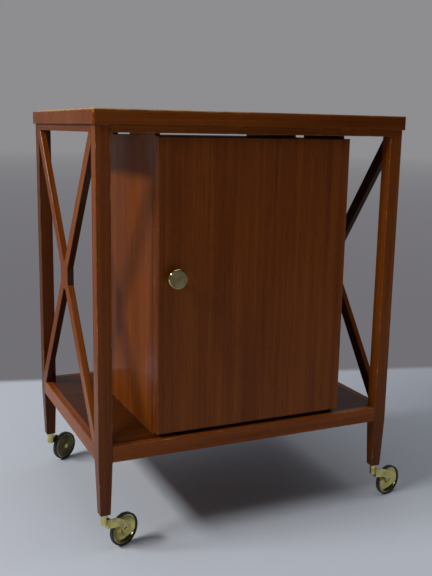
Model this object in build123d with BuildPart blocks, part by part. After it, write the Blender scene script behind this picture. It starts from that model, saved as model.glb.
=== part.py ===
from build123d import *
import math
import os

os.makedirs("parts", exist_ok=True)

# Bar cart: a top and a shelf on four tapered legs, crossed braces at the ends, a cabinet
# with one door between the two boards, and a one-armed swivel caster under each leg.
# Millimetres. +Z is up, -Y is the front, the origin is on the floor in the middle of the legs.

# ---------------------------------------------------------------- driving dimensions
WIDTH = 610.0  # over the outer faces of the legs
DEPTH = 450.0
HEIGHT = 791.0
TOP_THICKNESS = 26.0
TOP_OVERHANG = 5.0
TOP_CORNER_R = 5.0
TOP_EDGE_R = 1.6
APRON_HEIGHT = 12.5
APRON_THICKNESS = 22.0
LEG = 26.0  # square section above the taper
LEG_FOOT = 19.4
LEG_FOOT_CHAMFER = 1.2
FOOT_Z = 76.5
SHELF_Z = 206.5  # upper face of the shelf
RAIL_HEIGHT = 29.0
RAIL_THICKNESS = 20.0
SHELF_THICKNESS = 12.0
SHELF_REBATE = 6.0
TENON_LENGTH = 8.0
TENON_THICKNESS = 8.0
TENON_SHOULDER = 2.0
EASE = 0.8  # small bevel or round on exposed wooden arrises

BRACE_WIDTH = 24.0
BRACE_THICKNESS = 12.0
BRACE_BOSS_WIDTH = 54.0
BRACE_BOSS_HEIGHT = 56.0

CABINET_WIDTH = 384.0
CABINET_REAR_Y = 201.0
CABINET_TOP_GAP = 5.5
BOARD = 14.0
BACK_PANEL = 5.0
BACK_REBATE = 7.0
CLEAT_WIDTH = 10.0
FRONT_CLEAT_REAR_Y = -62.0
REAR_CLEAT_FRONT_Y = {"left": 40.0, "right": -4.0}
REAR_CLEAT_REAR_Y = 200.0

DOOR_FRONT_Y = -217.5
DOOR_THICKNESS = 20.0
DOOR_GAP = 1.0  # between the door and the front of the case
DOOR_SHELF_GAP = 7.5
DOOR_EASE = 1.5
KNOB_X = -162.0
KNOB_Z = 503.5
KNOB_R = 18.0
KNOB_HEAD = 7.0
KNOB_STEM_R = 6.0
KNOB_STEM = 15.0
KNOB_SCREW_R = 2.0
KNOB_SCREW_DEPTH = 10.0
KNOB_FACE_ROUND = 2.8
KNOB_BACK_ROUND = 1.8

HINGE_HEIGHT = 50.0
HINGE_LEAF_WIDTH = 12.0
HINGE_LEAF = 1.5
HINGE_BARREL_R = 3.0
HINGE_PIN_R = 1.5
HINGE_FIT = 0.05  # radial running clearance
HINGE_AXIS_OUT = 3.4  # from the side of the cabinet to the hinge axis
HINGE_FROM_END = 85.0
HINGE_KNUCKLE_GAP = 0.4
SCREW_R = 1.4
SCREW_LENGTH = 10.0
SCREW_HEAD_R = 2.4
SCREW_SLOT = 0.6
SCREWS_PER_LEAF = 3

WHEEL_R = 31.5
TYRE_WIDTH = 8.0
TYRE_DEPTH = 3.6
WHEEL_RIM = 2.0
WHEEL_WEB = 2.0
WHEEL_CROWN = 1.5  # how far the hub stands out past the rim on the side away from the arm
HUB_R = 7.5
HUB_FACE = 0.4  # from the hub's end to the side of the tyre
RIM_FACE = 1.5  # from the rim's edge to the side of the tyre
DISH_FALL = 1.4  # how much deeper the dish is in its middle than beside the hub
TYRE_ROUND = 2.0
CASTER_TRAIL = 45.0  # from the swivel axis to the axle
WHEEL_OFFSET = -2.0  # wheel's middle plane from the swivel axis; the arm is on the minus side
ARM_THICKNESS = 2.6
ARM_CLEARANCE = 0.8
ARM_ROOT_TOP = 67.0
ARM_ROOT_BOTTOM = 50.0
ARM_SHOULDER_Z = 47.0
ARM_FALL_BELOW = 5.0  # how far the arm's lower edge has dropped halfway to the axle
ARM_FALL_ABOVE = 4.0  # and its upper edge
ARM_BOSS_R = 7.5
ARM_START = 1.0
ARM_WEB = 7.0
AXLE_R = 3.0
AXLE_FIT = 0.05
AXLE_HEAD_R = 5.0
AXLE_HEAD = 1.5
AXLE_HEAD_ROUND = 0.9
AXLE_END_PLAY = 0.4
HOUSING_R = 6.3
HOUSING_BOTTOM_Z = 55.0
HOUSING_CHAMFER = 1.0
SWIVEL_GAP = 0.4
SOCKET_FLANGE = 1.4
SOCKET_FLANGE_R = 8.0
SOCKET_R = 5.5
SOCKET_DEPTH = 34.0
SOCKET_END = 2.0
PINTLE_R = 4.0
PINTLE_FIT = 0.05
PINTLE_TOP_GAP = 2.0
CASTER_HEADINGS = {"front_left": 24.0, "front_right": 12.0, "rear_left": 30.0, "rear_right": 20.0}
OTHER_HAND = ("rear_left", "rear_right")  # casters with the arm on the other side of the wheel

# ---------------------------------------------------------------- derived places
LEG_X = WIDTH / 2 - LEG / 2
LEG_Y = DEPTH / 2 - LEG / 2
INNER_X = WIDTH / 2 - LEG
INNER_Y = DEPTH / 2 - LEG
TOP_BOTTOM_Z = HEIGHT - TOP_THICKNESS
APRON_BOTTOM_Z = TOP_BOTTOM_Z - APRON_HEIGHT
RAIL_BOTTOM_Z = SHELF_Z - RAIL_HEIGHT
CABINET_TOP_Z = APRON_BOTTOM_Z - CABINET_TOP_GAP
CABINET_X = CABINET_WIDTH / 2
DOOR_REAR_Y = DOOR_FRONT_Y + DOOR_THICKNESS
DOOR_BOTTOM_Z = SHELF_Z + DOOR_SHELF_GAP
CABINET_FRONT_Y = DOOR_REAR_Y + DOOR_GAP
HINGE_X = CABINET_X + HINGE_AXIS_OUT
HINGE_Y = (DOOR_REAR_Y + CABINET_FRONT_Y) / 2
HINGES = {"lower": DOOR_BOTTOM_Z + HINGE_FROM_END, "upper": CABINET_TOP_Z - HINGE_FROM_END}
SIDES = {"left": -1, "right": 1}
CORNERS = {
    "front_left": (-1, -1),
    "front_right": (1, -1),
    "rear_left": (-1, 1),
    "rear_right": (1, 1),
}


def save(piece, name):
    """Label a finished piece and write its STEP file."""
    piece.label = name
    export_step(piece, f"parts/{name}.step")


def board(x_range, y_range, z_range):
    """A squared board between the given limits on each axis."""
    (x0, x1), (y0, y1), (z0, z1) = sorted(x_range), sorted(y_range), sorted(z_range)
    with BuildPart(mode=Mode.PRIVATE) as piece:
        with BuildSketch(Plane.XY.offset(z0)):
            with Locations(((x0 + x1) / 2, (y0 + y1) / 2)):
                Rectangle(x1 - x0, y1 - y0)
        extrude(amount=z1 - z0)
    return piece.part


def rod(start, direction, radius, length, mode=Mode.ADD):
    """A round bar from a point along a direction, added to or cut from the piece in hand."""
    with Locations(Plane(origin=start, z_dir=direction).location):
        Cylinder(radius, length, align=(Align.CENTER, Align.CENTER, Align.MIN), mode=mode)


# ---------------------------------------------------------------- top
with BuildPart() as top_panel:
    with BuildSketch(Plane.XY.offset(TOP_BOTTOM_Z)):
        RectangleRounded(WIDTH + 2 * TOP_OVERHANG, DEPTH + 2 * TOP_OVERHANG, TOP_CORNER_R)
    extrude(amount=TOP_THICKNESS)
    fillet(top_panel.faces().sort_by(Axis.Z)[-1].edges(), TOP_EDGE_R)
    chamfer(top_panel.faces().sort_by(Axis.Z)[0].edges(), EASE)
save(top_panel.part, "top_panel")


# ---------------------------------------------------------------- aprons and shelf rails
def rail_between_legs(along_x, sign, bottom, height, thickness, rebate=0.0):
    """A rail flush with the outside of the legs, with a stub tenon at each end.

    A rail along X is the front (sign -1) or rear (+1) one, and a rail along Y is the left
    (-1) or right (+1) one. The rebate along its inner upper edge takes the shelf.
    """
    length = 2 * (INNER_X if along_x else INNER_Y)
    outer = (DEPTH if along_x else WIDTH) / 2

    def bar(middle, bar_length, bar_width):
        """A rectangle that lies along the rail, `middle` from the centre of the cart."""
        with Locations((0, middle) if along_x else (middle, 0)):
            Rectangle(*((bar_length, bar_width) if along_x else (bar_width, bar_length)))

    with BuildPart() as rail:
        with BuildSketch(Plane.XY.offset(bottom + TENON_SHOULDER)):
            bar(sign * (outer - LEG / 2), length + 2 * TENON_LENGTH, TENON_THICKNESS)
        extrude(amount=height - 2 * TENON_SHOULDER)
        with BuildSketch(Plane.XY.offset(bottom)):
            bar(sign * (outer - thickness / 2), length, thickness)
        extrude(amount=height)
        arrises = rail.edges().filter_by(lambda edge: edge.length > length / 2)
        arrises = arrises.sort_by(Axis.Y if along_x else Axis.X)
        chamfer(arrises[-2:] if sign > 0 else arrises[:2], EASE)
        if rebate:
            with BuildSketch(Plane.XY.offset(SHELF_Z)):
                bar(sign * (outer - thickness + rebate / 2), length, rebate)
            extrude(amount=-SHELF_THICKNESS, mode=Mode.SUBTRACT)
    return rail.part


RAILS = {"front": (True, -1), "rear": (True, 1), "left": (False, -1), "right": (False, 1)}
rail_parts = []
for side, (along_x, sign) in RAILS.items():
    apron = rail_between_legs(along_x, sign, APRON_BOTTOM_Z, APRON_HEIGHT, APRON_THICKNESS)
    shelf_rail = rail_between_legs(
        along_x, sign, RAIL_BOTTOM_Z, RAIL_HEIGHT, RAIL_THICKNESS, SHELF_REBATE
    )
    save(apron, f"{side}_apron")
    save(shelf_rail, f"{side}_shelf_rail")
    rail_parts += [apron, shelf_rail]

# ---------------------------------------------------------------- shelf
shelf_inset = RAIL_THICKNESS - SHELF_REBATE
with BuildPart() as shelf_panel:
    with BuildSketch(Plane.XY.offset(SHELF_Z - SHELF_THICKNESS)):
        Rectangle(WIDTH - 2 * shelf_inset, DEPTH - 2 * shelf_inset)
        with GridLocations(2 * LEG_X, 2 * LEG_Y, 2, 2):
            Rectangle(LEG, LEG, mode=Mode.SUBTRACT)
    extrude(amount=SHELF_THICKNESS)
save(shelf_panel.part, "shelf_panel")

# ---------------------------------------------------------------- legs
for corner, (sx, sy) in CORNERS.items():
    x, y = sx * LEG_X, sy * LEG_Y
    with BuildPart() as leg:
        with BuildSketch(Plane.XY.offset(RAIL_BOTTOM_Z)) as knee:
            with Locations((x, y)):
                Rectangle(LEG, LEG)
            chamfer(knee.vertices(), EASE)
        extrude(amount=TOP_BOTTOM_Z - RAIL_BOTTOM_Z)
        with BuildSketch(Plane.XY.offset(FOOT_Z)) as foot:
            with Locations((x, y)):
                Rectangle(LEG_FOOT, LEG_FOOT)
            chamfer(foot.vertices(), EASE)
        loft([knee.sketch.faces()[0], foot.sketch.faces()[0]])
        chamfer(leg.faces().sort_by(Axis.Z)[0].edges(), LEG_FOOT_CHAMFER)
        rod((x, y, FOOT_Z), (0, 0, 1), SOCKET_R, SOCKET_DEPTH, Mode.SUBTRACT)
        add(rail_parts, mode=Mode.SUBTRACT)
    save(leg.part, f"{corner}_leg")

# ---------------------------------------------------------------- crossed braces
bay_height = APRON_BOTTOM_Z - SHELF_Z
bay_middle_z = SHELF_Z + bay_height / 2
lean = math.degrees(math.atan2(2 * INNER_Y, bay_height))
for side, sx in SIDES.items():
    outer_face = sx * WIDTH / 2
    inner_face = outer_face - sx * BRACE_THICKNESS
    middle_face = (outer_face + inner_face) / 2
    brace_plane = Plane.YZ.offset(min(outer_face, inner_face))
    # At the crossing each bar keeps one half of its thickness.
    for end, tilt, cut_face in (("rear", -lean, inner_face), ("front", lean, outer_face)):
        with BuildPart() as brace:
            with BuildSketch(brace_plane):
                with Locations((0, bay_middle_z)):
                    Rectangle(BRACE_WIDTH, 2 * bay_height, rotation=tilt)
            extrude(amount=BRACE_THICKNESS)
            chamfer(brace.edges().filter_by(lambda edge: edge.length > bay_height), EASE)
            with BuildSketch(brace_plane):
                with Locations((0, bay_middle_z)):
                    Rectangle(2 * INNER_Y, bay_height)
            extrude(amount=BRACE_THICKNESS, mode=Mode.INTERSECT)
            with BuildSketch(brace_plane):
                with Locations((0, bay_middle_z)):
                    Rectangle(BRACE_BOSS_WIDTH, BRACE_BOSS_HEIGHT)
            extrude(amount=BRACE_THICKNESS)
            with BuildSketch(Plane.YZ.offset(min(middle_face, cut_face))):
                with Locations((0, bay_middle_z)):
                    Rectangle(BRACE_BOSS_WIDTH, BRACE_BOSS_HEIGHT)
            extrude(amount=BRACE_THICKNESS / 2, mode=Mode.SUBTRACT)
        save(brace.part, f"{side}_brace_to_{end}")


# ---------------------------------------------------------------- screws for the hinge leaves
def leaf_screws(face_y, inward, slotted):
    """Countersunk screws of both hinges, driven through the leaf at face_y towards inward."""
    screw_x = CABINET_X - HINGE_LEAF_WIDTH / 2
    spacing = HINGE_HEIGHT / SCREWS_PER_LEAF
    countersink = math.degrees(math.atan2(SCREW_HEAD_R - SCREW_R, HINGE_LEAF))
    with BuildPart(mode=Mode.PRIVATE) as screws:
        for hinge_z in HINGES.values():
            for index in range(SCREWS_PER_LEAF):
                screw_z = hinge_z + (index - (SCREWS_PER_LEAF - 1) / 2) * spacing
                start = (screw_x, face_y, screw_z)
                with BuildSketch(Plane(origin=start, z_dir=(0, inward, 0))):
                    Circle(SCREW_HEAD_R)
                extrude(amount=HINGE_LEAF, taper=countersink)
                rod(start, (0, inward, 0), SCREW_R, SCREW_LENGTH)
                if slotted:
                    with BuildSketch(Plane(origin=start, x_dir=(1, 0, 0), z_dir=(0, inward, 0))):
                        Rectangle(2 * SCREW_HEAD_R, SCREW_SLOT)
                    extrude(amount=SCREW_SLOT, mode=Mode.SUBTRACT)
    return screws.part


case_screws = leaf_screws(CABINET_FRONT_Y, 1, slotted=False)
door_screws = leaf_screws(DOOR_REAR_Y, -1, slotted=False)
save(leaf_screws(CABINET_FRONT_Y, 1, slotted=True), "case_hinge_screws")
save(leaf_screws(DOOR_REAR_Y, -1, slotted=True), "door_hinge_screws")


# ---------------------------------------------------------------- hinges
def hinge_leaf(hinge_z, face_y, inward, knuckles, bore_r, screws):
    """A leaf let in flush at face_y, with knuckles over the given spans of its height."""
    bottom = hinge_z - HINGE_HEIGHT / 2
    y_range = (face_y, face_y + inward * HINGE_LEAF)
    with BuildPart() as leaf:
        add(board((CABINET_X - HINGE_LEAF_WIDTH, CABINET_X), y_range, (bottom, bottom + HINGE_HEIGHT)))
        for low, high in knuckles:
            add(board((CABINET_X, HINGE_X), y_range, (bottom + low, bottom + high)))
            rod((HINGE_X, HINGE_Y, bottom + low), (0, 0, 1), HINGE_BARREL_R, high - low)
        rod((HINGE_X, HINGE_Y, bottom), (0, 0, 1), bore_r, HINGE_HEIGHT, Mode.SUBTRACT)
        add(screws, mode=Mode.SUBTRACT)
    return leaf.part


third = HINGE_HEIGHT / 3
middle_knuckle = [(third + HINGE_KNUCKLE_GAP / 2, 2 * third - HINGE_KNUCKLE_GAP / 2)]
end_knuckles = [(0, third - HINGE_KNUCKLE_GAP / 2), (2 * third + HINGE_KNUCKLE_GAP / 2, HINGE_HEIGHT)]
for level, hinge_z in HINGES.items():
    case_leaf = hinge_leaf(hinge_z, CABINET_FRONT_Y, 1, end_knuckles, HINGE_PIN_R, case_screws)
    door_leaf = hinge_leaf(
        hinge_z, DOOR_REAR_Y, -1, middle_knuckle, HINGE_PIN_R + HINGE_FIT, door_screws
    )
    save(case_leaf, f"{level}_hinge_case_leaf")
    save(door_leaf, f"{level}_hinge_door_leaf")
    with BuildPart() as pin:
        rod((HINGE_X, HINGE_Y, hinge_z - HINGE_HEIGHT / 2), (0, 0, 1), HINGE_PIN_R, HINGE_HEIGHT)
    save(pin.part, f"{level}_hinge_pin")


def leaf_recesses(face_y, inward):
    """The two shallow housings cut for the hinge leaves."""
    y_range = (face_y, face_y + inward * HINGE_LEAF)
    x_range = (CABINET_X - HINGE_LEAF_WIDTH, CABINET_X)
    half = HINGE_HEIGHT / 2
    return [board(x_range, y_range, (z - half, z + half)) for z in HINGES.values()]


# ---------------------------------------------------------------- cabinet case
case_inner_x = CABINET_X - BOARD
panel_x = case_inner_x + BACK_REBATE
panel_front_y = CABINET_REAR_Y - BACK_PANEL
case_z = (SHELF_Z, CABINET_TOP_Z)
for side, sx in SIDES.items():
    with BuildPart() as case_side:
        add(board((sx * case_inner_x, sx * CABINET_X), (CABINET_FRONT_Y, CABINET_REAR_Y), case_z))
        chamfer(
            case_side.edges().filter_by(Axis.Z).filter_by(lambda e: abs(e.center().X) > panel_x),
            EASE,
        )
        add(
            board((sx * case_inner_x, sx * panel_x), (panel_front_y, CABINET_REAR_Y), case_z),
            mode=Mode.SUBTRACT,
        )
        if side == "right":
            add(leaf_recesses(CABINET_FRONT_Y, 1) + [case_screws], mode=Mode.SUBTRACT)
    save(case_side.part, f"cabinet_{side}_side")
across = (-case_inner_x, case_inner_x)
front_to_back = (CABINET_FRONT_Y, panel_front_y)
save(board(across, front_to_back, (SHELF_Z, SHELF_Z + BOARD)), "cabinet_bottom")
save(board(across, front_to_back, (CABINET_TOP_Z - BOARD, CABINET_TOP_Z)), "cabinet_top")
save(board((-panel_x, panel_x), (panel_front_y, CABINET_REAR_Y), case_z), "cabinet_back")

# ---------------------------------------------------------------- cleats over the cabinet
with BuildPart() as top_cleats:
    for side, sx in SIDES.items():
        x_range = (sx * CABINET_X, sx * (CABINET_X - CLEAT_WIDTH))
        z_range = (CABINET_TOP_Z, TOP_BOTTOM_Z)
        add(board(x_range, (CABINET_FRONT_Y, FRONT_CLEAT_REAR_Y), z_range))
        add(board(x_range, (REAR_CLEAT_FRONT_Y[side], REAR_CLEAT_REAR_Y), z_range))
save(top_cleats.part, "top_cleats")

# ---------------------------------------------------------------- door and knob
knob_head_y = DOOR_FRONT_Y - KNOB_STEM
with BuildPart() as door_panel:
    add(board((-CABINET_X, CABINET_X), (DOOR_FRONT_Y, DOOR_REAR_Y), (DOOR_BOTTOM_Z, CABINET_TOP_Z)))
    chamfer(door_panel.faces().sort_by(Axis.Y)[0].edges(), DOOR_EASE)
    add(leaf_recesses(DOOR_REAR_Y, -1) + [door_screws], mode=Mode.SUBTRACT)
    rod((KNOB_X, DOOR_REAR_Y, KNOB_Z), (0, -1, 0), KNOB_SCREW_R, DOOR_THICKNESS, Mode.SUBTRACT)
save(door_panel.part, "door_panel")

with BuildPart() as knob_stem:
    rod((KNOB_X, DOOR_FRONT_Y, KNOB_Z), (0, -1, 0), KNOB_STEM_R, KNOB_STEM)
    rod((KNOB_X, DOOR_FRONT_Y, KNOB_Z), (0, -1, 0), KNOB_SCREW_R, KNOB_SCREW_DEPTH, Mode.SUBTRACT)
save(knob_stem.part, "knob_stem")

with BuildPart() as door_knob:
    rod((KNOB_X, knob_head_y, KNOB_Z), (0, -1, 0), KNOB_R, KNOB_HEAD)
    fillet(door_knob.faces().sort_by(Axis.Y)[0].edges(), KNOB_FACE_ROUND)
    fillet(door_knob.faces().sort_by(Axis.Y)[-1].edges(), KNOB_BACK_ROUND)
save(door_knob.part, "door_knob")

with BuildPart() as knob_screw:
    screw_tip = DOOR_THICKNESS + KNOB_SCREW_DEPTH
    rod((KNOB_X, DOOR_REAR_Y, KNOB_Z), (0, -1, 0), KNOB_SCREW_R, screw_tip)
save(knob_screw.part, "knob_screw")


# ---------------------------------------------------------------- casters
def caster(corner):
    """The five pieces of one caster, standing at its corner and trailing along its heading."""
    sx, sy = CORNERS[corner]
    heading = math.radians(CASTER_HEADINGS[corner])
    base = Plane(
        origin=(sx * LEG_X, sy * LEG_Y, 0),
        x_dir=(math.cos(heading), math.sin(heading), 0),
        z_dir=(0, 0, 1),
    )

    def side_plane(offset):
        """The upright plane along the heading, `offset` sideways from the swivel axis."""
        return Plane(
            origin=base.from_local_coords((0, offset, 0)), x_dir=base.x_dir, z_dir=-base.y_dir
        )

    hub = base.from_local_coords((CASTER_TRAIL, WHEEL_OFFSET, WHEEL_R))
    wheel_plane = Plane(origin=hub, x_dir=base.x_dir, z_dir=(0, 0, 1))
    axle_axis = Axis(hub, base.y_dir)
    arm_inner = WHEEL_OFFSET - TYRE_WIDTH / 2 - ARM_CLEARANCE
    arm_outer = arm_inner - ARM_THICKNESS
    housing_top = FOOT_Z - SOCKET_FLANGE - SWIVEL_GAP
    foot = base.from_local_coords((0, 0, FOOT_Z))

    with BuildPart() as socket:
        rod(foot, (0, 0, 1), SOCKET_R, SOCKET_DEPTH)
        rod(foot, (0, 0, -1), SOCKET_FLANGE_R, SOCKET_FLANGE)
        bore_start = base.from_local_coords((0, 0, FOOT_Z - SOCKET_FLANGE))
        bore = SOCKET_DEPTH + SOCKET_FLANGE - SOCKET_END
        rod(bore_start, (0, 0, 1), PINTLE_R + PINTLE_FIT, bore, Mode.SUBTRACT)

    pintle_top = FOOT_Z + SOCKET_DEPTH - SOCKET_END - PINTLE_TOP_GAP
    boss_left = CASTER_TRAIL - ARM_BOSS_R
    boss_right = CASTER_TRAIL + ARM_BOSS_R
    with BuildPart() as horn:
        housing_foot = base.from_local_coords((0, 0, HOUSING_BOTTOM_Z))
        rod(housing_foot, (0, 0, 1), HOUSING_R, housing_top - HOUSING_BOTTOM_Z)
        chamfer(horn.edges().filter_by(GeomType.CIRCLE).sort_by(Axis.Z)[0], HOUSING_CHAMFER)
        rod(housing_foot, (0, 0, 1), PINTLE_R, pintle_top - HOUSING_BOTTOM_Z)
        with BuildSketch(side_plane(0)):
            with Locations((ARM_START + ARM_WEB / 2, (ARM_ROOT_TOP + ARM_ROOT_BOTTOM) / 2)):
                Rectangle(ARM_WEB, ARM_ROOT_TOP - ARM_ROOT_BOTTOM)
        extrude(amount=-arm_outer)
        with BuildSketch(side_plane(arm_inner)):
            with BuildLine():
                knee_low = (CASTER_TRAIL / 2, ARM_ROOT_BOTTOM - ARM_FALL_BELOW)
                knee_high = (CASTER_TRAIL / 2, ARM_ROOT_TOP - ARM_FALL_ABOVE)
                lower = Line((ARM_START, ARM_ROOT_BOTTOM), knee_low)
                bend = TangentArc(lower @ 1, (boss_left, WHEEL_R), tangent=lower % 1)
                under = ThreePointArc(
                    bend @ 1, (CASTER_TRAIL, WHEEL_R - ARM_BOSS_R), (boss_right, WHEEL_R)
                )
                over = ThreePointArc(under @ 1, (CASTER_TRAIL, ARM_SHOULDER_Z), knee_high)
                Polyline(over @ 1, (ARM_START, ARM_ROOT_TOP), (ARM_START, ARM_ROOT_BOTTOM))
            make_face()
        extrude(amount=ARM_THICKNESS)
        arm_hub = base.from_local_coords((CASTER_TRAIL, arm_inner, WHEEL_R))
        rod(arm_hub, -base.y_dir, AXLE_R, ARM_THICKNESS, Mode.SUBTRACT)

    with BuildPart() as axle:
        head_face = base.from_local_coords((CASTER_TRAIL, arm_outer - AXLE_HEAD, WHEEL_R))
        rod(head_face, base.y_dir, AXLE_HEAD_R, AXLE_HEAD)
        fillet(axle.edges().group_by(Axis(hub, base.y_dir))[0], AXLE_HEAD_ROUND)
        far_end = WHEEL_OFFSET + TYRE_WIDTH / 2 + AXLE_END_PLAY
        rod(head_face, base.y_dir, AXLE_R, far_end + AXLE_HEAD - arm_outer)
        far_head = base.from_local_coords((CASTER_TRAIL, far_end, WHEEL_R))
        rod(far_head, base.y_dir, AXLE_HEAD_R, AXLE_HEAD)

    disc_r = WHEEL_R - TYRE_DEPTH
    half = TYRE_WIDTH / 2
    dish_middle_r = (HUB_R + disc_r) / 2
    with BuildPart() as disc:
        with BuildSketch(wheel_plane):
            with BuildLine():
                bore_side = Line((AXLE_R + AXLE_FIT, half), (AXLE_R + AXLE_FIT, HUB_FACE - half))
                hub_end = Line(bore_side @ 1, (HUB_R, HUB_FACE - half))
                hub_side = Line(hub_end @ 1, (HUB_R, half - WHEEL_CROWN - WHEEL_WEB))
                dish = ThreePointArc(
                    hub_side @ 1,
                    (dish_middle_r, half - WHEEL_CROWN - WHEEL_WEB + DISH_FALL / 2),
                    (disc_r - WHEEL_RIM, RIM_FACE - half),
                )
                rim = Polyline(dish @ 1, (disc_r, RIM_FACE - half), (disc_r, half - RIM_FACE))
                crown = ThreePointArc(
                    rim @ 1, (dish_middle_r, half - RIM_FACE + DISH_FALL / 2), (HUB_R, half)
                )
                Line(crown @ 1, bore_side @ 0)
            make_face()
        revolve(axis=axle_axis)

    with BuildPart() as tyre:
        with BuildSketch(wheel_plane) as section:
            with Locations((disc_r + TYRE_DEPTH / 2, 0)):
                Rectangle(TYRE_DEPTH, TYRE_WIDTH)
            fillet(section.vertices().group_by(Axis(hub, base.x_dir))[-1], TYRE_ROUND)
        revolve(axis=axle_axis)

    pieces = {
        "caster_socket": socket.part,
        "caster_horn": horn.part,
        "caster_axle": axle.part,
        "wheel_disc": disc.part,
        "wheel_tyre": tyre.part,
    }
    if corner in OTHER_HAND:
        return {name: mirror(piece, about=side_plane(0)) for name, piece in pieces.items()}
    return pieces


for corner in CORNERS:
    for piece_name, piece in caster(corner).items():
        save(piece, f"{corner}_{piece_name}")
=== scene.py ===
import math

import bpy
from mathutils import Matrix, Vector


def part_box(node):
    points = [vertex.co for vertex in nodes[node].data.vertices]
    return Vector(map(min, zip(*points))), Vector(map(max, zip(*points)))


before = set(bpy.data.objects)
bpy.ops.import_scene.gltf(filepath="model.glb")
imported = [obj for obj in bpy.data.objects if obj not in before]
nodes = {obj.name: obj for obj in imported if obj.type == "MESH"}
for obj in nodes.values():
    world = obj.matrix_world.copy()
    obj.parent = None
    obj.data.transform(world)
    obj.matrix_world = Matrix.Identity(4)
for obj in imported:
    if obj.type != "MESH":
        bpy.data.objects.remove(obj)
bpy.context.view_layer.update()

CORNERS = ("front_left", "front_right", "rear_left", "rear_right")
UP = Vector((0, 0, 1))
ALONG_X, ALONG_Y, ALONG_Z = (1, 0, 0), (0, 1, 0), (0, 0, 1)

# ---------------------------------------------------------------- camera
CAMERA_PLACE = (-0.67338, -1.50840, 0.76047)
CAMERA_YAW = math.radians(24.655)  # from +Y towards +X
CAMERA_PITCH = math.radians(-11.204)
CAMERA_ROLL = math.radians(1.055)
CAMERA_LENS = 50.07
CAMERA_SENSOR = 36

forward = Vector((
    math.sin(CAMERA_YAW) * math.cos(CAMERA_PITCH),
    math.cos(CAMERA_YAW) * math.cos(CAMERA_PITCH),
    math.sin(CAMERA_PITCH),
))
level_right = forward.cross(UP).normalized()
level_up = level_right.cross(forward)
rolled_right = level_right * math.cos(CAMERA_ROLL) + level_up * math.sin(CAMERA_ROLL)
rolled_up = level_up * math.cos(CAMERA_ROLL) - level_right * math.sin(CAMERA_ROLL)
camera = bpy.data.objects.new("camera", bpy.data.cameras.new("camera"))
camera.data.lens = CAMERA_LENS
camera.data.sensor_width = CAMERA_SENSOR
camera_turn = Matrix((rolled_right, rolled_up, -forward)).transposed().to_4x4()
camera.matrix_world = Matrix.Translation(CAMERA_PLACE) @ camera_turn
bpy.context.scene.collection.objects.link(camera)
bpy.context.scene.camera = camera
bpy.context.scene.view_settings.view_transform = "Standard"


# ---------------------------------------------------------------- node helpers
class Tree:
    """A node tree under construction."""

    def __init__(self, owner):
        owner.use_nodes = True
        self.nodes, self.links = owner.node_tree.nodes, owner.node_tree.links
        self.nodes.clear()

    def add(self, kind, inputs=None, output=0, **settings):
        """Adds a node, fills or links its inputs, and returns one of its outputs."""
        node = self.nodes.new("ShaderNode" + kind)
        for key, value in settings.items():
            setattr(node, key, value)
        for key, value in (inputs or {}).items():
            if isinstance(value, bpy.types.NodeSocket):
                self.links.new(value, node.inputs[key])
            else:
                node.inputs[key].default_value = value
        return node.outputs[output] if len(node.outputs) else node

    def math(self, operation, *values, clamp=False):
        return self.add("Math", dict(enumerate(values)), operation=operation, use_clamp=clamp)

    def vector(self, operation, *values):
        """Vector maths that gives a vector."""
        return self.add("VectorMath", dict(enumerate(values)), operation=operation)

    def measure(self, operation, *values):
        """Vector maths that gives a number."""
        return self.add("VectorMath", dict(enumerate(values)), output=1, operation=operation)

    def split(self, vector):
        """The X, Y and Z of a vector."""
        return self.add("SeparateXYZ", {0: vector}).node.outputs

    def place(self):
        """A point's place in its own object, which for a CAD node is the shared frame at rest."""
        return self.add("TexCoord", output=3)

    def mix(self, factor, a, b, blend="MIX"):
        """Mixes two colours."""
        return self.add(
            "Mix", {0: factor, 6: a, 7: b}, output=2, data_type="RGBA", blend_type=blend
        )

    def span(self, value, low, high, to_low=0.0, to_high=1.0, smooth=False):
        """Maps a value from one range to another, clamped."""
        return self.add(
            "MapRange",
            {0: value, 1: low, 2: high, 3: to_low, 4: to_high},
            interpolation_type="SMOOTHSTEP" if smooth else "LINEAR",
        )

    def noise(self, vector, scale, detail=3.0, roughness=0.5, distortion=0.0):
        return self.add(
            "TexNoise",
            {"Vector": vector, "Scale": scale, "Detail": detail, "Roughness": roughness,
             "Distortion": distortion},
        )

    def stretched(self, vector, scale, offset=(0, 0, 0)):
        return self.add("Mapping", {0: vector, 1: offset, 3: scale})

    def bump(self, height, strength, distance):
        return self.add("Bump", {"Height": height, "Strength": strength, "Distance": distance})

    def principled(self, **inputs):
        """Ends a material in a Principled shader; Base_Color sets the socket Base Color."""
        sockets = {key.replace("_", " "): value for key, value in inputs.items()}
        self.add("OutputMaterial", {0: self.add("BsdfPrincipled", sockets)})


def colour(red, green, blue):
    return (red, green, blue, 1.0)


def dress(name, material):
    """Gives a CAD node its material."""
    for slot in nodes[name].material_slots:
        slot.material = material


# ---------------------------------------------------------------- mahogany
WOOD_DARK = colour(0.125, 0.0250, 0.0022)
WOOD_MID = colour(0.205, 0.0475, 0.0042)
WOOD_LIGHT = colour(0.290, 0.0800, 0.0085)
WOOD_PORE = colour(0.040, 0.0090, 0.0030)
WOOD_WORN = colour(0.560, 0.3500, 0.1500)
WOOD_FOOT_DARK = colour(0.035, 0.0120, 0.0060)
# The next colour is the near-black of painted shade on the braces.
WOOD_PAINTED_SHADE = colour(0.012, 0.0070, 0.0045)
VARNISH_TINT = colour(1.0, 0.88, 0.72)

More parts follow.
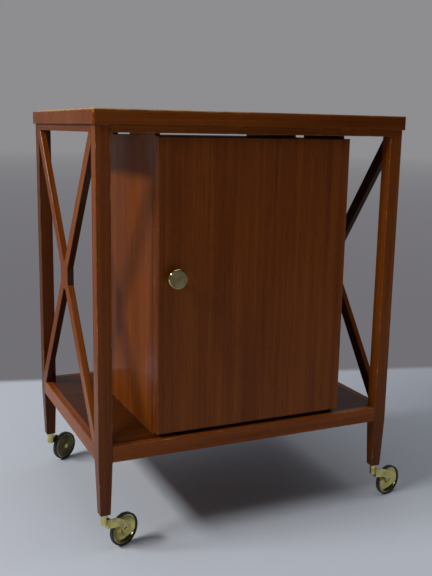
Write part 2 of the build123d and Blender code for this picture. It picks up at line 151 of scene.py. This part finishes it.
# Layers of noise: squeeze along the grain, scale, detail, roughness and distortion.
GRAIN = {
    "figure": (0.09, 16, 4, 0.55, 0.6),
    "ribbon": (0.012, 85, 3, 0.6, 0.2),
    "fibre": (0.012, 620, 4, 0.6, 0.0),
    "pores": (0.035, 1300, 2, 0.5, 0.0),
    "cloud": (0.4, 5, 2, 0.5, 0.0),
}
SEED_STEP = 0.37
SEED_SPREAD = (1.0, 1.7, 2.3)
FIGURE_SHARE, RIBBON_SHARE, FIBRE_SHARE, CLOUD_SHARE = 0.42, 0.5, 0.28, 0.3
DARK_TO_MID = (0.38, 0.60)
MID_TO_LIGHT = (0.58, 0.80)
PORE_EDGE = (0.60, 0.68)
PORE_SHADE = 0.55

FOOT_DARKENING = 0.55
FOOT_DARKENING_RISE = 0.25  # how far above the knee of a leg the darkening ends, in metres
# Painted shade on the braces' inward, down-facing and level faces: its edge and how dark it gets.
SHADE_FACING_EDGE = (0.4, 0.7)
PAINTED_SHADE_SHARE = 0.8

WEAR_NOISE = (38, 4, 0.65)
WEAR_RAGGED = 0.006
WEAR_FROM = -0.0006
# The rubbed arris is real wear brightened further as a painted highlight.
WEAR_SHADE, RUBBED_GLINT_SHADE = 0.5, 0.85
RUBBED_GLINT_GAIN = (1.6, 0.25)  # of the wear and painted highlight before and beyond the stretch where they fade
RUBBED_GLINT_DEPTH = (0.009, 0.004)  # below the rubbed height, where the wear and painted highlight start and are full
NICK_SCALE = 11.0
NICK_EDGE = (0.010, 0.018)
NICK_CHOICE = (0.56, 0.58)  # cells whose random shade is above this have a nick
NICK_SHADE = 0.7

HANDLED_NOISE = (9, 3, 0.6)
ROUGH_LEAST, ROUGH_HANDLED, ROUGH_WORN, ROUGH_PORE = 0.24, 0.22, 0.2, 0.08
RELIEF_FIBRE, RELIEF_PORE, RELIEF_WORN = 0.5, -0.6, -0.4


def grain_turn(along):
    """The turn that lays a direction of grain along Z."""
    grain = Vector(along).normalized()
    upright = abs(grain.z) >= 0.99
    side = Vector(ALONG_X) if upright else UP.cross(grain)
    side.normalize()
    return Matrix((side, grain.cross(side), grain))


def arris_distance(t, local, height, low, high, end_wear, taper):
    """How far a point on a box is from the nearest arris.

    Of a point's depths below the three pairs of faces, the two smallest say how near it is.
    """
    centre = [(a + b) / 2 for a, b in zip(low, high)]
    half = [(b - a) / 2 for a, b in zip(low, high)]
    away = t.split(t.vector("ABSOLUTE", t.vector("SUBTRACT", local, centre)))
    depths = []
    for axis in range(3):
        reach = half[axis]
        if taper and axis < 2:
            foot_z, knee_z, foot_half = taper
            reach = t.span(height, foot_z, knee_z, foot_half, half[axis])
        depths.append(t.math("SUBTRACT", reach, away[axis]))
    edge = t.math("MAXIMUM", depths[0], depths[1])
    if end_wear:
        edge = t.math("MINIMUM", edge, t.math("MAXIMUM", depths[1], depths[2]))
        edge = t.math("MINIMUM", edge, t.math("MAXIMUM", depths[0], depths[2]))
    return edge


def wood(name, along, low, high, seed, tone=1.0, worn=0.0007, end_wear=True, taper=None,
         rubbed=None, dark_side=None):
    """Varnished mahogany with its grain along a direction, worn at the arrises of its box.

    low and high are the box of the piece in its own turned frame, whose Z is the grain.
    worn is how far from an arris the wear reaches, and end_wear wears the ends' arrises too.
    taper is a leg's foot height, knee height and half width at the foot.
    A rubbed arris is given by two places along the grain, between which its wear and painted
    highlight fade, and the height of the only arrises that are worn.
    The last argument is a direction: the faces that look that way are painted nearly black
    as painted shade, and so are those that look down, or level along Y.
    """
    material = bpy.data.materials.new(name)
    t = Tree(material)
    place = t.place()
    local = t.add("Mapping", {0: place, 2: grain_turn(along).to_euler()})
    height = t.split(local)[2]

    shift = tuple(SEED_STEP * seed * spread for spread in SEED_SPREAD)
    figure, ribbon, fibre, pores, cloud = (
        t.noise(t.stretched(local, (1, 1, squeeze), shift), *pattern)
        for squeeze, *pattern in GRAIN.values()
    )
    streaks = t.math("MULTIPLY_ADD", ribbon, RIBBON_SHARE, t.math("MULTIPLY", fibre, FIBRE_SHARE))
    depth = t.math("MULTIPLY_ADD", figure, FIGURE_SHARE, streaks)
    drift = t.math("MULTIPLY_ADD", cloud, CLOUD_SHARE, -CLOUD_SHARE / 2)
    shade = t.math("ADD", depth, drift)
    body = t.mix(t.span(shade, *DARK_TO_MID), WOOD_DARK, WOOD_MID)
    body = t.mix(t.span(shade, *MID_TO_LIGHT), body, WOOD_LIGHT)
    pore_mask = t.span(pores, *PORE_EDGE)
    body = t.mix(t.math("MULTIPLY", pore_mask, PORE_SHADE), body, WOOD_PORE)
    body = t.mix(1.0, body, colour(tone, tone, tone), "MULTIPLY")

    # Legs are darker towards the foot.
    if taper:
        foot_z, knee_z, _ = taper
        foot_dark = t.span(height, foot_z, knee_z + FOOT_DARKENING_RISE, FOOT_DARKENING, 0.0)
        body = t.mix(foot_dark, body, WOOD_FOOT_DARK)
    # Painted shade: faces that look down, level along Y, or towards the given side are darkened
    # nearly black.
    if dark_side:
        facing = t.add("TexCoord", output=1)
        toward_shaded_side = t.measure("DOT_PRODUCT", facing, dark_side)
        _, facing_y, facing_z = t.split(facing)
        under = t.math("SUBTRACT", t.math("ABSOLUTE", facing_y), facing_z)
        painted_shade = t.span(t.math("MAXIMUM", toward_shaded_side, under), *SHADE_FACING_EDGE)
        body = t.mix(t.math("MULTIPLY", painted_shade, PAINTED_SHADE_SHARE), body, WOOD_PAINTED_SHADE)

    edge = arris_distance(t, local, height, low, high, end_wear, taper)
    patches = t.math("SUBTRACT", t.noise(local, *WEAR_NOISE), 0.5)
    ragged = t.math("MULTIPLY_ADD", patches, WEAR_RAGGED, edge)
    wear = t.span(ragged, WEAR_FROM, worn, 1.0, 0.0, smooth=True)
    cells = t.add("TexVoronoi", {"Vector": local, "Scale": NICK_SCALE}, feature="F1")
    chosen = t.span(cells.node.outputs[1], *NICK_CHOICE)
    nick = t.math("MULTIPLY", t.span(cells, *NICK_EDGE, 1.0, 0.0), chosen)
    body = t.mix(t.math("MULTIPLY", nick, NICK_SHADE), body, WOOD_WORN)
    if rubbed:
        start, end, rubbed_z = rubbed
        gain = t.span(height, start, end, *RUBBED_GLINT_GAIN)
        upper = t.span(t.split(place)[2], *(rubbed_z - depth_below for depth_below in RUBBED_GLINT_DEPTH))
        wear = t.math("MULTIPLY", t.math("MULTIPLY", wear, gain, clamp=True), upper)
    body = t.mix(t.math("MULTIPLY", wear, RUBBED_GLINT_SHADE if rubbed else WEAR_SHADE), body, WOOD_WORN)

    rough = t.math("MULTIPLY_ADD", t.noise(local, *HANDLED_NOISE), ROUGH_HANDLED, ROUGH_LEAST)
    rough = t.math("MULTIPLY_ADD", wear, ROUGH_WORN, rough)
    rough = t.math("MULTIPLY_ADD", pore_mask, ROUGH_PORE, rough, clamp=True)
    relief = t.math("MULTIPLY", fibre, RELIEF_FIBRE)
    relief = t.math("MULTIPLY_ADD", pore_mask, RELIEF_PORE, relief)
    relief = t.math("MULTIPLY_ADD", wear, RELIEF_WORN, relief)
    t.principled(
        Base_Color=body, Roughness=rough, Normal=t.bump(relief, strength=0.22, distance=0.0004),
        IOR=1.5, Specular_IOR_Level=0.08, Coat_Weight=0.15, Coat_Roughness=0.10, Coat_IOR=1.45,
        Coat_Tint=VARNISH_TINT,
    )
    return material


def panel(name, along, seed, **settings):
    """Dresses a CAD node in mahogany of its own."""
    turn = grain_turn(along)
    spots = [turn @ vertex.co for vertex in nodes[name].data.vertices]
    low = [min(spot[axis] for spot in spots) for axis in range(3)]
    high = [max(spot[axis] for spot in spots) for axis in range(3)]
    dress(name, wood("mahogany_" + name, along, low, high, seed, **settings))


LEG_FOOT_HALF = 0.0097
RAIL_GRAIN = {"front": ALONG_X, "rear": ALONG_X, "left": ALONG_Y, "right": ALONG_Y}
INWARD = {"left": (1, 0, 0), "right": (-1, 0, 0)}
# The rear left leg is darkened all over as painted shade.
SHADED_LEG_TONE = {"rear_left": 0.62}
DARKER_BOARDS = ("cabinet_top", "cabinet_bottom", "cabinet_back", "top_cleats")

# The top's upper front arris on the left is worn pale and brightened as a painted highlight.
panel("top_panel", ALONG_X, 1, tone=0.92, worn=0.0036,
      rubbed=(-0.10, 0.0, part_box("top_panel")[1].z))
for index, (side, along) in enumerate(RAIL_GRAIN.items()):
    panel(f"{side}_apron", along, 2 + index, end_wear=False, tone=0.85)
    panel(f"{side}_shelf_rail", along, 6 + index, end_wear=False, tone=1.1)
panel("shelf_panel", ALONG_X, 10, worn=0.0001, end_wear=False, tone=0.34)
knee_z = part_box("front_shelf_rail")[0].z
for index, corner in enumerate(CORNERS):
    leg = f"{corner}_leg"
    panel(leg, ALONG_Z, 11 + index, tone=SHADED_LEG_TONE.get(corner, 1.0),
          taper=(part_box(leg)[0].z, knee_z, LEG_FOOT_HALF))

apron_low, apron_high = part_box("left_apron")
rise = apron_low.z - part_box("shelf_panel")[1].z
run = apron_high.y - apron_low.y
for index, (side, inward) in enumerate(INWARD.items()):
    for seed, end, lean in ((15 + index, "rear", run), (17 + index, "front", -run)):
        panel(f"{side}_brace_to_{end}", (0, lean, rise), seed, end_wear=False, dark_side=inward)

panel("cabinet_left_side", ALONG_Z, 20, tone=0.86)
panel("cabinet_right_side", ALONG_Z, 21, tone=0.86)
panel("door_panel", ALONG_Z, 22, tone=0.90)
for index, name in enumerate(DARKER_BOARDS):
    along = ALONG_Z if name == "cabinet_back" else ALONG_X
    panel(name, along, 24 + index, worn=0.0001, tone=0.7)

# ---------------------------------------------------------------- metals and rubber
BRIGHT_BRASS, DULL_BRASS = colour(0.74, 0.66, 0.25), colour(0.44, 0.39, 0.14)
KNOB_BRASS, DULL_KNOB = colour(0.36, 0.30, 0.12), colour(0.22, 0.18, 0.08)
# Painted shade and dark reflection for the rear discs, and below, the colour of their painted
# highlight ring.
SHADED_DISC_BRASS, DULL_SHADED_DISC_BRASS = colour(0.150, 0.130, 0.060), colour(0.10, 0.09, 0.045)
DISC_GLINT_COLOUR = colour(0.46, 0.42, 0.22)
BRIGHT_STEEL, DULL_STEEL = colour(0.62, 0.60, 0.56), colour(0.40, 0.38, 0.35)
TARNISH_NOISE, SPOT_NOISE, MARK_NOISE = (70, 4, 0.55), (700, 3, 0.6), (2600, 2, 0.5)
MARK_SQUEEZE = 0.05
SPOT_SHARE = 0.18
TARNISH_EDGE = (0.42, 0.82)
MARK_ROUGH = 0.06
SPOT_RELIEF = 0.4
GLINT_FADE = 0.0012
KNOB_GLINT_INSET = 0.0016
DISC_GLINT_INSET = 0.0028

BLACK_RUBBER = colour(0.012, 0.012, 0.013)
RUBBER_DUST = colour(0.060, 0.057, 0.052)
FLOOR_DUST = colour(0.11, 0.105, 0.10)
FLOOR_DUST_HEIGHT = 0.006
FLOOR_DUST_SHADE = 0.35
DUST_NOISE, GRIT_NOISE = (160, 5, 0.65), (2200, 2, 0.5)
DUST_EDGE = (0.45, 0.75)
DUST_SHADE = 0.5


def metal(name, bright, dull, roughness, seed, rim_glint=None):
    """Polished metal that has dulled in patches, with fine rubbing marks.

    roughness is its lowest and highest value. The last argument is a centre, a distance from it
    beyond which the metal is painted bright as a highlight, and the colour there.
    """
    material = bpy.data.materials.new(name)
    t = Tree(material)
    place = t.place()
    patches = t.noise(t.stretched(place, (1, 1, 1), (seed, seed, seed)), *TARNISH_NOISE)
    spots = t.noise(place, *SPOT_NOISE)
    marks = t.noise(t.stretched(place, (1, 1, MARK_SQUEEZE)), *MARK_NOISE)
    patches = t.math("MULTIPLY_ADD", spots, SPOT_SHARE, patches)
    tarnish = t.span(patches, *TARNISH_EDGE, smooth=True)
    # Painted highlight: a bright, untarnished ring beyond a distance from a centre.
    if rim_glint:
        centre, reach, glint_colour = rim_glint
        away = t.measure("DISTANCE", place, centre)
        rubbed = t.span(away, reach, reach + GLINT_FADE, smooth=True)
        bright = t.mix(rubbed, bright, glint_colour)
        tarnish = t.math("MULTIPLY", tarnish, t.math("SUBTRACT", 1.0, rubbed))
    low, high = roughness
    rough = t.math("MULTIPLY_ADD", tarnish, high - low, low)
    rough = t.math("MULTIPLY_ADD", marks, MARK_ROUGH, rough)
    relief = t.math("MULTIPLY_ADD", spots, SPOT_RELIEF, marks)
    t.principled(
        Base_Color=t.mix(tarnish, bright, dull), Metallic=1.0, Roughness=rough,
        Normal=t.bump(relief, strength=0.06, distance=0.0002), Anisotropic=0.25,
    )
    return material


def rubber(name):
    """Black tyre rubber, greyed by floor dust on the tread."""
    material = bpy.data.materials.new(name)
    t = Tree(material)
    place = t.place()
    dust = t.noise(place, *DUST_NOISE)
    grit = t.noise(place, *GRIT_NOISE)
    body = t.mix(t.span(dust, *DUST_EDGE, 0.0, DUST_SHADE), BLACK_RUBBER, RUBBER_DUST)
    near_floor = t.span(t.split(place)[2], 0.0, FLOOR_DUST_HEIGHT, FLOOR_DUST_SHADE, 0.0)
    t.principled(
        Base_Color=t.mix(near_floor, body, FLOOR_DUST),
        Roughness=t.math("MULTIPLY_ADD", dust, 0.3, 0.4),
        Normal=t.bump(grit, strength=0.2, distance=0.0003), Specular_IOR_Level=0.4,
        Sheen_Weight=0.08,
    )
    return material


brass = metal("brass", BRIGHT_BRASS, DULL_BRASS, (0.11, 0.30), 0.3)
steel = metal("steel", BRIGHT_STEEL, DULL_STEEL, (0.22, 0.45), 1.1)
tyre_rubber = rubber("rubber")
knob_low, knob_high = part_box("door_knob")
knob_middle = (knob_low + knob_high) / 2
knob_face = Vector((knob_middle.x, knob_low.y, knob_middle.z))
# Painted highlight: a bright ring round the edge of the knob's face.
knob_glint = (knob_face, (knob_high.x - knob_low.x) / 2 - KNOB_GLINT_INSET, BRIGHT_BRASS)
knob_brass = metal("knob_brass", KNOB_BRASS, DULL_KNOB, (0.10, 0.24), 0.7, knob_glint)
for name in nodes:
    if name.endswith(("horn", "disc", "leaf", "screws", "axle")):
        dress(name, brass)
    elif name in ("door_knob", "knob_stem"):
        dress(name, knob_brass)
    elif name.endswith(("pin", "socket")) or name == "knob_screw":
        dress(name, steel)
    elif name.endswith("tyre"):
        dress(name, tyre_rubber)

# The rear wheels' discs are painted dark as shade and dark reflection, with a painted highlight
# ring at the rim.
for side in ("left", "right"):
    disc = f"rear_{side}_wheel_disc"
    low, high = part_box(disc)
    disc_glint = ((low + high) / 2, (high.z - low.z) / 2 - DISC_GLINT_INSET, DISC_GLINT_COLOUR)
    dress(disc, metal(f"shaded_disc_brass_{side}", SHADED_DISC_BRASS, DULL_SHADED_DISC_BRASS, (0.18, 0.4), 0.9, disc_glint))

# ---------------------------------------------------------------- floor and backdrop
FLOOR_REACH = 60.0
PALE_FLOOR, MOTTLED_FLOOR = colour(0.640, 0.690, 0.785), colour(0.630, 0.675, 0.750)
MOTTLE_NOISE = (4, 5, 0.55)
MOTTLE_EDGE = (0.3, 0.7)
BACKDROP_LOW, BACKDROP_HIGH = colour(0.165, 0.160, 0.175), colour(0.270, 0.266, 0.276)
BACKDROP_FADE = (2.0, 25.0)  # how far away the backdrop goes from its low grey to its high one
BACKDROP_FOOT = 0.74  # how far behind the middle of the cart the floor turns to backdrop
BACKDROP_EDGE = 0.05
BACKDROP_TURN = (0.2584, 0.9660, 0.0)
FLOOR_ENDS = (1.9, 4.5)  # how far away the floor starts and ends its turn in every direction

floor_mesh = bpy.data.meshes.new("floor")
floor_mesh.from_pydata(
    [(x * FLOOR_REACH, y * FLOOR_REACH, 0) for x, y in ((-1, -1), (1, -1), (1, 1), (-1, 1))],
    [], [(0, 1, 2, 3)],
)
floor = bpy.data.objects.new("floor", floor_mesh)
bpy.context.scene.collection.objects.link(floor)
floor_material = bpy.data.materials.new("floor")
t = Tree(floor_material)
place = t.place()
mottle = t.span(t.noise(place, *MOTTLE_NOISE), *MOTTLE_EDGE)
pale = t.mix(mottle, PALE_FLOOR, MOTTLED_FLOOR)
paper = t.add(
    "BsdfPrincipled", {"Base Color": pale, "Roughness": 0.75, "Specular IOR Level": 0.2}
)
away = t.measure("LENGTH", place)
grey = t.mix(t.span(away, *BACKDROP_FADE), BACKDROP_LOW, BACKDROP_HIGH)
backdrop = t.add("Emission", {0: grey, 1: 1.0})
behind = t.measure("DOT_PRODUCT", place, BACKDROP_TURN)
past_foot = t.span(behind, BACKDROP_FOOT, BACKDROP_FOOT + BACKDROP_EDGE, smooth=True)
past_ends = t.span(away, *FLOOR_ENDS, smooth=True)
share = t.math("MAXIMUM", past_foot, past_ends)
t.add("OutputMaterial", {0: t.add("MixShader", {0: share, 1: paper, 2: backdrop})})
floor_mesh.materials.append(floor_material)

# ---------------------------------------------------------------- light
AMBIENT_FROM = (-0.20, 0.93, 0.30)  # the side of the room that most of the grey light is from
AMBIENT_SPREAD = (-0.6, 0.8)
AMBIENT_DARK, AMBIENT_LIGHT = colour(0.010, 0.010, 0.011), colour(0.215, 0.215, 0.225)

world = bpy.data.worlds.new("studio")
bpy.context.scene.world = world
t = Tree(world)
heading = t.add("TexCoord", output=0)
towards = t.measure("DOT_PRODUCT", heading, AMBIENT_FROM)
ambient = t.mix(t.span(towards, *AMBIENT_SPREAD, smooth=True), AMBIENT_DARK, AMBIENT_LIGHT)
seen = t.add("Background", {0: BACKDROP_HIGH, 1: 1.0})
lit = t.add("Background", {0: ambient, 1: 1.0})
seen_by_camera = t.add("LightPath", output=0)
t.add("OutputWorld", {0: t.add("MixShader", {0: seen_by_camera, 1: lit, 2: seen})})


def soft_light(name, place, aim, width, height, power, tint=(1.0, 1.0, 1.0)):
    """A rectangular soft light that the camera doesn't see."""
    lamp = bpy.data.lights.new(name, "AREA")
    lamp.shape = "RECTANGLE"
    lamp.size, lamp.size_y = width, height
    lamp.energy = power
    lamp.color = tint
    holder = bpy.data.objects.new(name, lamp)
    holder.location = place
    holder.rotation_mode = "QUATERNION"
    holder.rotation_quaternion = (Vector(aim) - Vector(place)).to_track_quat("-Z", "Y")
    holder.visible_camera = False
    bpy.context.scene.collection.objects.link(holder)


soft_light("key_left", place=(-3.97, -0.26, 3.33), aim=(0, 0, 0.45), width=2.7, height=0.55,
           power=174.0, tint=(1.0, 0.98, 0.95))
soft_light("fill_above", place=(0.3, -0.5, 3.3), aim=(0.1, -0.2, 0), width=2.4, height=2.4,
           power=22.0)
soft_light("glint_front", place=(0.15, -2.9, 0.62), aim=(-0.1, -0.2, 0.05), width=0.3, height=0.3,
           power=1.8)
